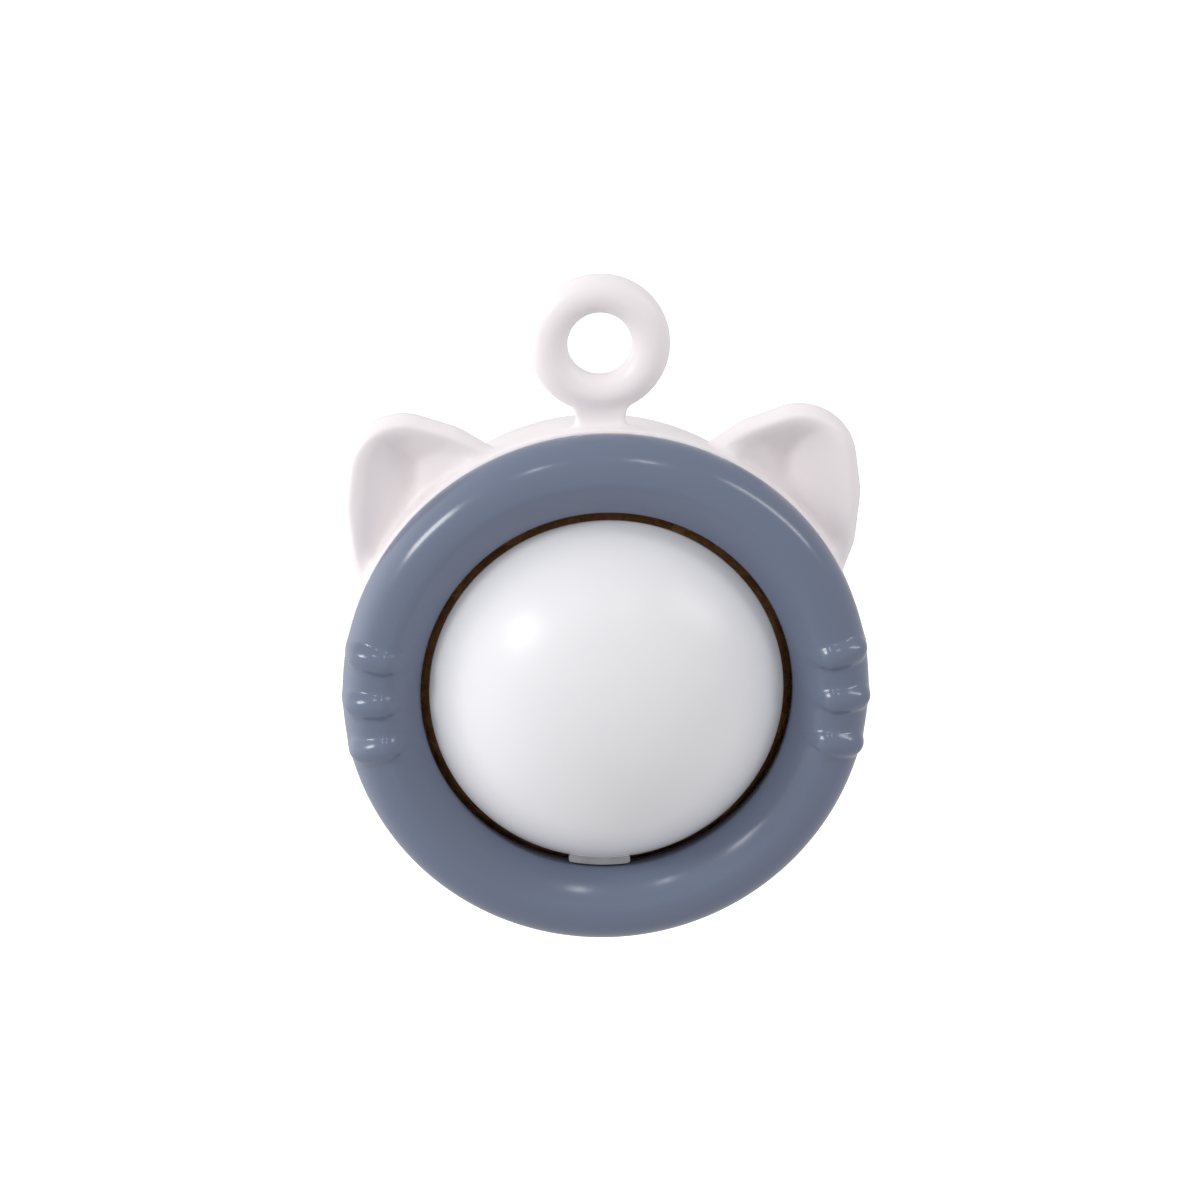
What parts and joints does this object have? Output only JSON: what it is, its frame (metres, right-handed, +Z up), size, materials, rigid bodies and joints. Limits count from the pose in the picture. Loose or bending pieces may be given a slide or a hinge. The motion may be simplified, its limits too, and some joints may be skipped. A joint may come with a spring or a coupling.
{
  "type": "wall-mounted catnip ball",
  "caption": "Cat-head wall toy: a pressed catnip ball turns between a bowl-shaped shell and a ring with raised whiskers that snaps onto it, under a pull-off domed dust cover.",
  "frame": {"origin": "middle of the adhesive pad's free face, which lies on the wall", "axes": "+X to the right as seen from the front, +Z up, +Y into the wall, so the toy faces -Y"},
  "size_m": [0.0486, 0.0464, 0.0617],
  "materials": {
    "white_plastic": "satin moulded plastic",
    "blue_grey_plastic": "glossy moulded plastic",
    "pressed_catnip": "rough pressed leaf",
    "cover_plastic": "semi-matte moulded plastic",
    "foam": "matte foam with adhesive faces"
  },
  "bodies": {
    "housing": {"rear_shell": "white_plastic", "front_ring": "blue_grey_plastic", "adhesive_pad": "foam"},
    "ball": {"catnip_ball": "pressed_catnip"},
    "cover": {"dust_cover": "cover_plastic"}
  },
  "joints": [
    {"name": "ball_spin", "type": "hinge", "parent": "housing", "child": "ball", "pos_m": [0, -0.023, 0], "axis": [1, 0, 0], "continuous": true},
    {"name": "cover_pull", "type": "slide", "parent": "housing", "child": "cover", "axis": [0, -1, 0], "range_m": [0, 0.03]}
  ]
}
